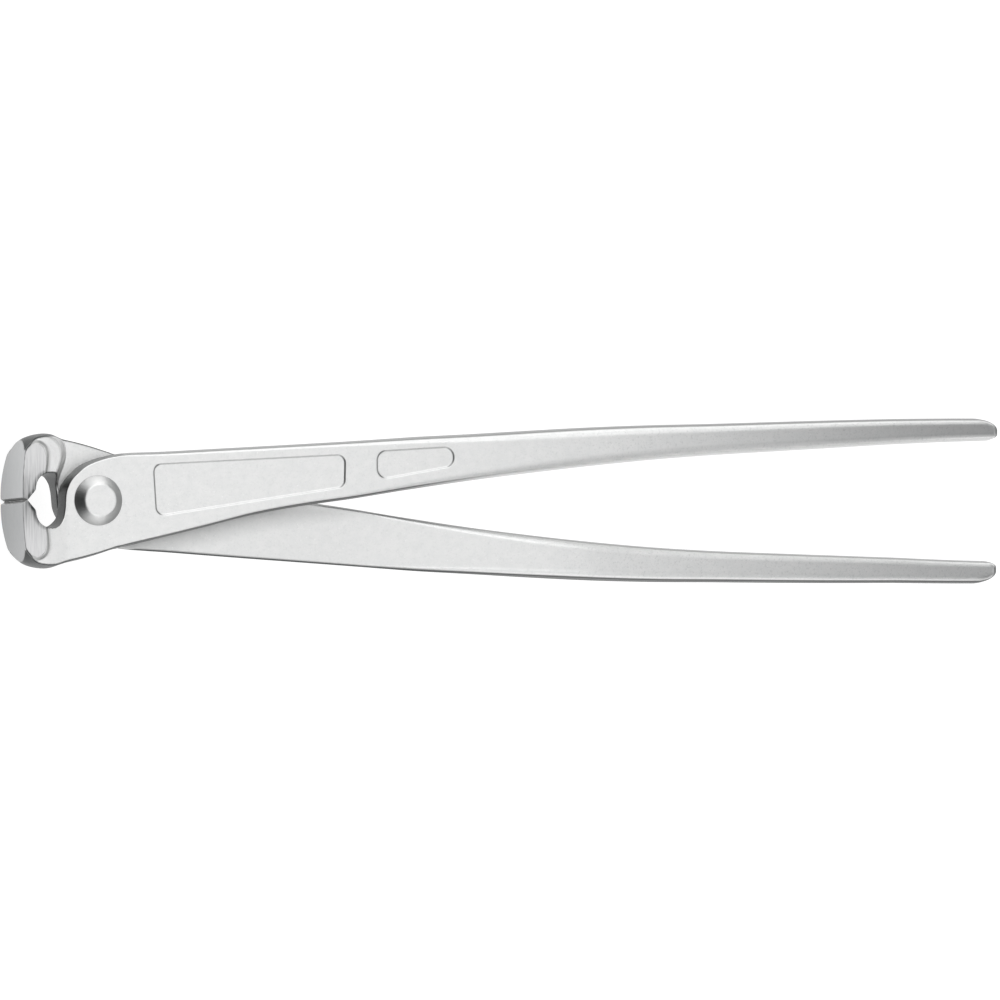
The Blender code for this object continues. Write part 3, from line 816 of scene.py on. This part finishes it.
def grip_dusk(points, normals):
    """Painted shade on the face of the front lever's grip, growing towards its end."""
    grip_end_share = np.clip((points[:, 0] - RAMP_END) / (HANDLE_REACH - RAMP_END), 0.0, 1.0)
    return GRIP_DUSK * grip_end_share * ease_between(normals[:, 2], *GRIP_FACING)


def recess_shade(points, normals):
    """Painted shade on the recesses' walls, by the way each faces."""
    x, y, z = points.T
    low, top, end = RECESS_SHADES
    tone = low + (top - low) * ease_between(normals[:, 1], *RECESS_UPPER_TURN)
    tone = tone + (end - tone) * ease_between(np.abs(normals[:, 0]), *RECESS_END_TURN)
    tone = tone * ease_between(normals[:, 2], *RECESS_STEEP) * (z > RECESS_LEVEL)
    shift = RECESS_DRAFT * RECESS_DEPTH / 2
    walls = [near(recess.at(x, y) + shift, RECESS_BAND) for recess in RECESS_PLANS]
    return tone * np.maximum(*walls)


def surface_marks(lever, points, normals):
    """Which points are ground bright, which lie on the flats, and how much painted shade each
    gets.
    """
    walls = lever.walls(*points.T)
    ground, flat = ground_marks(lever, *points.T)
    shades = [forged_shade(lever, points, normals, walls, ground),
              ground_dusk(lever, points, walls[1], ground, flat)]
    if lever.side < 0:
        shades.append(crease_shade(points, normals))
    else:
        shades += [grip_dusk(points, normals), recess_shade(points, normals)]
    return {"ground": ground, "flat": flat, "shade": np.max(shades, axis=0)}


def make_lever(name, side, place):
    """The mesh of one lever in its place in the scene."""
    lever = Lever(side)
    points, faces, normals = field_mesh(lever.field, spaced(X_STEPS),
                                        np.arange(*Y_SPAN, Y_STEP), spaced(Z_STEPS))
    matrix = np.array(place.to_3x3())
    world = points @ matrix.T * MM + np.array(place.translation)
    body = make_mesh(name, world, faces, normals @ matrix.T)
    for mark, values in surface_marks(lever, points, normals).items():
        add_mark(body.data, mark, values)
    return body


# Rivet: its shank, its heads' flats, cones and rims, and the gap under them
RIVET_RADIUS = 5.0
RIVET_HEAD_RADIUS = 6.9
RIVET_FLAT_RADIUS = 4.4
RIVET_HEAD_HEIGHT = 2.3
RIVET_RIM = 0.15
RIVET_SWELL = 0.06
RIVET_SEAT = 0.02
RIVET_FOOT_INSET = 0.06
# Hollow of the flat, as radii and depths, and its edge, as steps from its radius and depths
RIVET_DISH = ((0.0, 0.06), (1.5, 0.05))
RIVET_BRIM = ((-0.9, 0.01), (-0.3, 0.0), (-0.08, 0.03), (0.06, 0.12))
RIVET_STEPS = 144
CONE_STEPS = 12
CONE_START = 0.1
RIVET_WELD = 1e-7
# Painted shade on the heads' cones towards the handles and towards the jaws, then how much
# more grows towards their rims on the lower and on the upper side
RIVET_SHADES = (0.58, 0.62)
RIVET_RIM_SHADES = (0.5, 0.3)
CONE_FADE = (0.1, 0.3)
LEAST_REACH = 0.1


def rivet_profile():
    """Radius and height of the rivet's upper half: a flat top, a full cone and its rim."""
    base = JOINT_THICKNESS / 2
    top = base + RIVET_HEAD_HEIGHT
    line = [(radius, top - depth) for radius, depth in RIVET_DISH]
    line += [(RIVET_FLAT_RADIUS + step, top - depth) for step, depth in RIVET_BRIM]
    for part in np.linspace(CONE_START, 1.0, CONE_STEPS):
        radius = RIVET_FLAT_RADIUS + (RIVET_HEAD_RADIUS - RIVET_FLAT_RADIUS) * part
        height = top + (base + RIVET_RIM - top) * part + RIVET_SWELL * math.sin(math.pi * part)
        line.append((radius, height))
    line += [(RIVET_HEAD_RADIUS, base + RIVET_RIM / 2),
             (RIVET_HEAD_RADIUS - RIVET_FOOT_INSET, base + RIVET_SEAT),
             (RIVET_RADIUS, base + RIVET_SEAT)]
    return line


def rivet_shade(places):
    """Painted shade on the heads' cones, at places in millimetres about the rivet's middle."""
    reach = np.maximum(np.hypot(places[:, 0], places[:, 1]), LEAST_REACH)
    lead, tilt = places[:, 0] / reach, places[:, 1] / reach
    right, left = RIVET_SHADES
    low, high = RIVET_RIM_SHADES
    rim = (reach - RIVET_FLAT_RADIUS) / (RIVET_HEAD_RADIUS - RIVET_FLAT_RADIUS)
    cone = ease_between(reach - RIVET_FLAT_RADIUS, *CONE_FADE)
    cone_painted_shade = np.where(lead > 0, right, left) * lead ** 2 * cone
    return cone_painted_shade + np.where(tilt > 0, high, low) * tilt ** 2 * np.clip(rim, 0.0, 1.0)


def make_rivet(name):
    """The rivet with its two alike heads, turned about its axis."""
    upper = rivet_profile()
    profile = upper + [(r, -z) for r, z in reversed(upper)]
    turns = np.linspace(0, 2 * math.pi, RIVET_STEPS, endpoint=False)
    points, faces = [], []
    for radius, height in profile:
        for turn in turns:
            points.append((radius * math.cos(turn), radius * math.sin(turn), height))
    for row in range(len(profile) - 1):
        for step in range(RIVET_STEPS):
            after = (step + 1) % RIVET_STEPS
            first, second = row * RIVET_STEPS, (row + 1) * RIVET_STEPS
            faces.append((first + step, second + step, second + after, first + after))
    mesh = bpy.data.meshes.new(name)
    mesh.from_pydata([Vector(point) * MM + PIVOT for point in points], [], faces)
    shape = bmesh.new()
    shape.from_mesh(mesh)
    bmesh.ops.remove_doubles(shape, verts=shape.verts, dist=RIVET_WELD)
    shape.to_mesh(mesh)
    shape.free()
    mesh.shade_smooth()
    places = np.array([(vertex.co - PIVOT) / MM for vertex in mesh.vertices])
    # Painted shade on the cones, set by the way each part of them faces
    add_mark(mesh, "shade", rivet_shade(places))
    return link(name, mesh)


class Nodes:
    """Adds nodes to a material or world and links them."""

    def __init__(self, owner):
        owner.use_nodes = True
        self.tree = owner.node_tree
        self.tree.nodes.clear()

    def add(self, kind, inputs=None, **settings):
        """A node with its settings and its inputs, which are values or sockets."""
        node = self.tree.nodes.new("ShaderNode" + kind)
        for name, value in settings.items():
            setattr(node, name, value)
        for name, value in (inputs or {}).items():
            self.feed(node.inputs[name], value)
        return node

    def feed(self, socket, value):
        """Link a socket to an input, or set the input's value."""
        if isinstance(value, bpy.types.NodeSocket):
            self.tree.links.new(value, socket)
        else:
            socket.default_value = value

    def math(self, operation, first, second, clamp=False):
        """What an operation makes of two values or sockets."""
        return self.add("Math", {0: first, 1: second}, operation=operation,
                        use_clamp=clamp).outputs[0]

    def ramp(self, value, low, high, first, second):
        """A value eased from one range to another."""
        return self.add("MapRange", {"Value": value, "From Min": low, "From Max": high,
                                     "To Min": first, "To Max": second},
                        interpolation_type="SMOOTHSTEP").outputs["Result"]

    def blend(self, factor, first, second):
        """A colour between two, from the sockets that Mix shows for colours."""
        node = self.add("Mix", {0: factor}, data_type="RGBA")
        self.feed(node.inputs[6], first)
        self.feed(node.inputs[7], second)
        return node.outputs[2]

    def noise(self, place, scale, detail, rough):
        """Smooth noise from 0 to 1."""
        return self.add("TexNoise", {"Vector": place, "Scale": scale, "Detail": detail,
                                     "Roughness": rough}).outputs["Fac"]

    def stretch(self, place, scale):
        """Coordinates scaled along each axis."""
        return self.add("Mapping", {"Vector": place, "Scale": scale}).outputs["Vector"]

    def mark(self, name):
        """A value kept at the points of the mesh."""
        return self.add("Attribute", attribute_name=name).outputs["Fac"]


# Colours of the steel: clouds, spots, flecks, ground flats and ground fronts, then the dark colour
# that painted shade blends towards
ZINC_COLOURS = ((0.82, 0.825, 0.82, 1.0), (0.86, 0.86, 0.855, 1.0))
SPOT_COLOUR = (0.45, 0.455, 0.46, 1.0)
FLECK_COLOUR = (0.97, 0.97, 0.97, 1.0)
FLAT_COLOURS = ((0.66, 0.66, 0.665, 1.0), (0.75, 0.75, 0.75, 1.0))
GROUND_COLOURS = ((0.42, 0.43, 0.435, 1.0), (0.47, 0.475, 0.48, 1.0))
PAINTED_SHADE_COLOUR = (0.042, 0.046, 0.046, 1.0)
# Scale, detail and roughness of the noises
GRAIN = (3400.0, 3.0, 0.65)
CLOUD = (420.0, 4.0, 0.6)
MOTTLE = (1500.0, 4.0, 0.7)
FLECK = (2300.0, 2.0, 0.5)
STREAK = (2600.0, 3.0, 0.6)
STREAK_STRETCH = (1.0, 0.05, 1.0)
# What the noises turn into: the range that is read, then the range that is given
FULL_RAMP = (0.3, 0.7, 0.0, 1.0)
SPOT_RAMP = (0.52, 0.68, 0.0, 1.0)
SPOT_ALONG_RAMP = (-0.01, 0.04, 0.12, 0.3)
FLECK_RAMP = (0.68, 0.74, 0.0, 0.8)
ROUGHNESS_RAMP = (0.3, 0.7, 0.37, 0.43)
BROKEN_RAMP = (0.0, 1.0, 1.3, 0.7)
GROUND_ROUGHNESS = 0.28
# Strength and depth of the dents and of the grain, the depth in metres
DENT_BUMP = (0.3, 0.0001)
GRAIN_BUMP = (0.25, 0.00006)


def steel_colour(nodes, place, mottle):
    """The plated steel's cloudy colour, with spots that grow towards the handles' ends."""
    cloud = nodes.ramp(nodes.noise(place, *CLOUD), *FULL_RAMP)
    along = nodes.add("SeparateXYZ", {"Vector": place}).outputs["X"]
    spots = nodes.math("MULTIPLY", nodes.ramp(mottle, *SPOT_RAMP),
                       nodes.ramp(along, *SPOT_ALONG_RAMP))
    colour = nodes.blend(spots, nodes.blend(cloud, *ZINC_COLOURS), SPOT_COLOUR)
    fleck = nodes.ramp(nodes.noise(place, *FLECK), *FLECK_RAMP)
    return nodes.blend(fleck, colour, FLECK_COLOUR)


def steel_material(name):
    """Bright zinc plated steel with a fine blasted grain and ground jaws, darkened by painted
    shade.
    """
    material = bpy.data.materials.new(name)
    nodes = Nodes(material)
    place = nodes.add("TexCoord").outputs["Object"]
    shade, ground, flat = (nodes.mark(mark) for mark in ("shade", "ground", "flat"))
    mottle = nodes.noise(place, *MOTTLE)
    streak = nodes.noise(nodes.stretch(place, STREAK_STRETCH), *STREAK)
    streak = nodes.ramp(streak, *FULL_RAMP)
    colour = steel_colour(nodes, place, mottle)
    colour = nodes.blend(flat, colour, nodes.blend(streak, *FLAT_COLOURS))
    colour = nodes.blend(ground, colour, nodes.blend(streak, *GROUND_COLOURS))
    # Painted shade: the marked places are blended towards the dark colour, broken by streaks on
    # the flats
    broken = nodes.math("MULTIPLY", shade, nodes.ramp(streak, *BROKEN_RAMP))
    broken = nodes.math("MULTIPLY", broken, flat)
    whole = nodes.math("MULTIPLY", shade, nodes.math("SUBTRACT", 1.0, flat))
    colour = nodes.blend(nodes.math("ADD", broken, whole, clamp=True), colour, PAINTED_SHADE_COLOUR)
    rough = nodes.add("Mix", {"Factor": nodes.math("MAXIMUM", ground, flat),
                              "A": nodes.ramp(mottle, *ROUGHNESS_RAMP),
                              "B": GROUND_ROUGHNESS}).outputs["Result"]
    strength, depth = DENT_BUMP
    dents = nodes.add("Bump", {"Height": mottle, "Strength": strength, "Distance": depth})
    strength, depth = GRAIN_BUMP
    bump = nodes.add("Bump", {"Height": nodes.noise(place, *GRAIN), "Strength": strength,
                              "Distance": depth, "Normal": dents.outputs["Normal"]})
    shader = nodes.add("BsdfPrincipled", {"Base Color": colour, "Roughness": rough,
                                          "Metallic": 1.0, "Normal": bump.outputs["Normal"]})
    nodes.add("OutputMaterial", {"Surface": shader.outputs["BSDF"]})
    return material


# The studio: floor, backdrop, surroundings, and soft boxes with spots, aims, sizes and powers
FLOOR_COLOUR = (0.25, 0.25, 0.25, 1.0)
FLOOR_GLOW = 0.91
FLOOR_HALF = 12.0
BACKDROP_HEIGHT = 1.6
WORLD_COLOUR = (0.9, 0.95, 1.0, 1.0)
WORLD_STRENGTH = 0.05
LAMPS = (
    ("overhead", (-0.02, 0.0, 0.35), (-0.02, 0.0, 0.0), (0.52, 0.8), 1.20),
    ("far_side", (-0.1, 1.1, 0.58), (-0.05, 0.0, 0.0), (1.8, 1.25), 8.1),
    ("near_side", (-0.1, -1.2, 0.62), (-0.05, 0.0, 0.0), (1.8, 1.25), 5.8),
    ("high_right", (1.50, 0.0, 1.20), (-0.14, 0.0, 0.0), (1.6, 0.7), 2.65),
    ("right", (1.4, 0.0, 0.38), (-0.14, 0.0, 0.0), (1.6, 0.76), 1.3),
)
# The camera: turn towards the jaws, drop below the tool's middle plane, distance, aim from
# the rivet's middle, and lens and film width in millimetres
CAMERA_TURN = math.radians(21.98)
CAMERA_PITCH = math.radians(1.47)
CAMERA_DISTANCE = 1.96276
CAMERA_AIM = Vector((0.12176, 0.00028, 0.0))
LENS, FILM_WIDTH = 250, 36


def floor_material():
    """Pale matt floor that keeps the tool's shadow and shows white around it."""
    material = bpy.data.materials.new("floor_pale")
    nodes = Nodes(material)
    path = nodes.add("LightPath").outputs
    seen = nodes.math("MAXIMUM", path["Is Camera Ray"], path["Is Glossy Ray"])
    seen = nodes.math("MAXIMUM", seen, path["Is Transmission Ray"])
    matt = nodes.add("BsdfDiffuse", {"Color": FLOOR_COLOUR}).outputs["BSDF"]
    glow = nodes.add("Emission", {"Strength": nodes.math("MULTIPLY", seen, FLOOR_GLOW)})
    both = nodes.add("AddShader", {0: matt, 1: glow.outputs["Emission"]})
    nodes.add("OutputMaterial", {"Surface": both.outputs["Shader"]})
    return material


def make_floor():
    """A wide plane under the tool, with a low backdrop standing round its edge."""
    corners = [(-FLOOR_HALF, -FLOOR_HALF), (FLOOR_HALF, -FLOOR_HALF),
               (FLOOR_HALF, FLOOR_HALF), (-FLOOR_HALF, FLOOR_HALF)]
    points = [(x, y, z) for z in (0.0, BACKDROP_HEIGHT) for x, y in corners]
    walls = [(side, (side + 1) % 4, (side + 1) % 4 + 4, side + 4) for side in range(4)]
    mesh = bpy.data.meshes.new("studio_floor")
    mesh.from_pydata(points, [], [(0, 1, 2, 3)] + walls)
    mesh.materials.append(floor_material())
    link("studio_floor", mesh)


def make_lamp(name, spot, aim, size, power):
    """A soft box that shines from a spot at an aim."""
    data = bpy.data.lights.new(name, "AREA")
    data.shape = "RECTANGLE"
    data.size, data.size_y = size
    data.energy = power
    lamp = link(name, data)
    lamp.location = spot
    lamp.rotation_euler = (Vector(aim) - Vector(spot)).to_track_quat("-Z", "Y").to_euler()
    lamp.visible_camera = False


def make_world():
    """Dim even surroundings."""
    world = bpy.data.worlds.new("studio")
    nodes = Nodes(world)
    sky = nodes.add("Background", {"Color": WORLD_COLOUR, "Strength": WORLD_STRENGTH})
    nodes.add("OutputWorld", {"Surface": sky.outputs["Background"]})
    bpy.context.scene.world = world


def make_camera():
    """The camera at the photograph's viewing angle."""
    aim = PIVOT + CAMERA_AIM
    spot = aim + CAMERA_DISTANCE * Vector((
        -math.sin(CAMERA_TURN) * math.cos(CAMERA_PITCH), -math.sin(CAMERA_PITCH),
        math.cos(CAMERA_TURN) * math.cos(CAMERA_PITCH)))
    ahead = (aim - spot).normalized()
    right = (Vector((1, 0, 0)) - ahead * ahead.x).normalized()
    up = right.cross(ahead)
    data = bpy.data.cameras.new("camera")
    data.lens, data.sensor_width = LENS, FILM_WIDTH
    camera = link("camera", data)
    turn = Matrix((right, up, -ahead)).transposed().to_4x4()
    camera.matrix_world = Matrix.Translation(spot) @ turn
    bpy.context.scene.camera = camera


front = make_lever("front_forging", 1, Matrix.Translation(PIVOT))
rear = make_lever("rear_forging", -1, Matrix.Translation(PIVOT) @ Matrix.Rotation(math.pi, 4, "X"))
rivet = make_rivet("joint_rivet_turned")
lever_steel = steel_material("lever_zinc")
rivet_steel = steel_material("rivet_zinc")
for body, node, ride, slot, steel in (
        (front, "front_lever", "front", "lever_steel", lever_steel),
        (rear, "rear_lever", "rear", "lever_steel", lever_steel),
        (rivet, "joint_rivet", "rear", "rivet_steel", rivet_steel)):
    body.data.materials.append(steel)
    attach(body, ride)
    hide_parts(node)
make_floor()
make_world()
for lamp in LAMPS:
    make_lamp(*lamp)
make_camera()
scene = bpy.context.scene
scene.view_settings.view_transform = "Standard"
bpy.context.view_layer.update()
